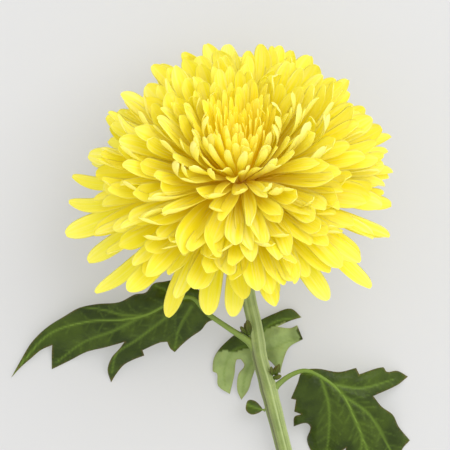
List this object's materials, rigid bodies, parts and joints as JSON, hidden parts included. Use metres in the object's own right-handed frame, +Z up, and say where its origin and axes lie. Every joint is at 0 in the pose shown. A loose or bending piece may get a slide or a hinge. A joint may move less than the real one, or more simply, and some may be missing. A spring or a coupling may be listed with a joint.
{
  "type": "chrysanthemum flower",
  "caption": "Cut chrysanthemum lying down: a ball of strap-shaped yellow florets on a bent, ribbed green stem with lobed dark green leaves.",
  "frame": {"origin": "on the table, under the middle of the whole flower's bounding box", "axes": "+Z up from the table, +Y from the stem's cut end toward the bloom, +X to the right seen from above with the bloom at the top"},
  "size_m": [0.163, 0.2118, 0.0962],
  "materials": {
    "petal": "matte, satiny ray floret, translucent",
    "heart_petal": "matte ray floret, deeper golden yellow",
    "bract": "matte pale green",
    "stem": "satin, ribbed and finely hairy",
    "leaf": "matte to satin dark green above, pale below"
  },
  "bodies": {
    "root": {"ray_whorl_01": "heart_petal", "ray_whorl_02": "heart_petal", "ray_whorl_03": "heart_petal", "ray_whorl_04": "heart_petal", "ray_whorl_05": "petal", "ray_whorl_06": "petal", "ray_whorl_07": "petal", "ray_whorl_08": "petal", "ray_whorl_09": "petal", "ray_whorl_10": "petal", "ray_whorl_11": "petal", "ray_whorl_12": "petal", "ray_whorl_13": "petal", "ray_whorl_14": "petal", "ray_floret_01": "petal", "ray_floret_02": "petal", "ray_floret_03": "petal", "ray_floret_04": "petal", "ray_floret_05": "petal", "ray_floret_06": "petal", "ray_floret_07": "petal", "ray_floret_08": "petal", "ray_floret_09": "petal", "ray_floret_10": "petal", "ray_floret_11": "petal", "ray_floret_12": "petal", "ray_floret_13": "petal", "ray_floret_14": "petal", "ray_floret_15": "petal", "ray_floret_16": "petal", "ray_floret_17": "petal", "ray_floret_18": "petal", "ray_floret_19": "petal", "ray_floret_20": "petal", "ray_floret_21": "petal", "ray_floret_22": "petal", "ray_floret_23": "petal", "ray_floret_24": "petal", "ray_floret_25": "petal", "ray_floret_26": "petal", "ray_floret_27": "petal", "ray_floret_28": "petal", "ray_floret_29": "petal", "ray_floret_30": "petal", "ray_floret_31": "petal", "ray_floret_32": "petal", "ray_floret_33": "petal", "ray_floret_34": "petal", "bract_row_01": "bract", "bract_row_02": "bract", "receptacle": "bract", "axil_bud_left": "bract", "axil_bud_right": "bract", "stem": "stem", "leaf_left": "leaf", "leaf_right": "leaf", "leaf_back": "leaf", "leaflet": "leaf"}
  },
  "joints": []
}
